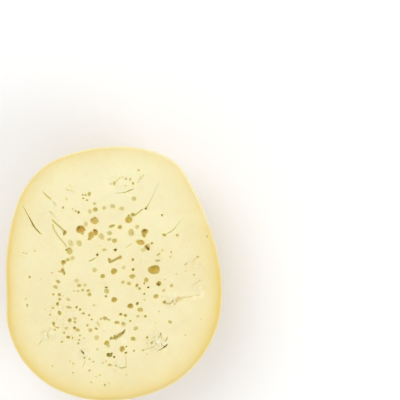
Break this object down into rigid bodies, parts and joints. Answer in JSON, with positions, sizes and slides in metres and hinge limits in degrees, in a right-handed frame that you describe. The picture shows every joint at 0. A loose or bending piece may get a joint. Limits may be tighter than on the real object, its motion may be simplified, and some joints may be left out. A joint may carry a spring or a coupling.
{
  "type": "caciocavallo cheese half",
  "caption": "Half of an oval semi-hard cheese, cut lengthwise, lying on its rounded rind with the flat cut face up, full of round eyes and thin fissures.",
  "frame": {"origin": "on the flat spot of the rounded back, straight under the middle of the cut face's bounding box", "axes": "+X across the cut face and +Y along it towards its top end, +Z out of the cut face, straight up as the half lies"},
  "size_m": [0.1503, 0.177, 0.068],
  "materials": {
    "paste": "moist, smooth, slightly waxy cut paste, darker and more golden towards the rind"
  },
  "bodies": {
    "root": {"caciocavallo": "paste"}
  },
  "joints": []
}
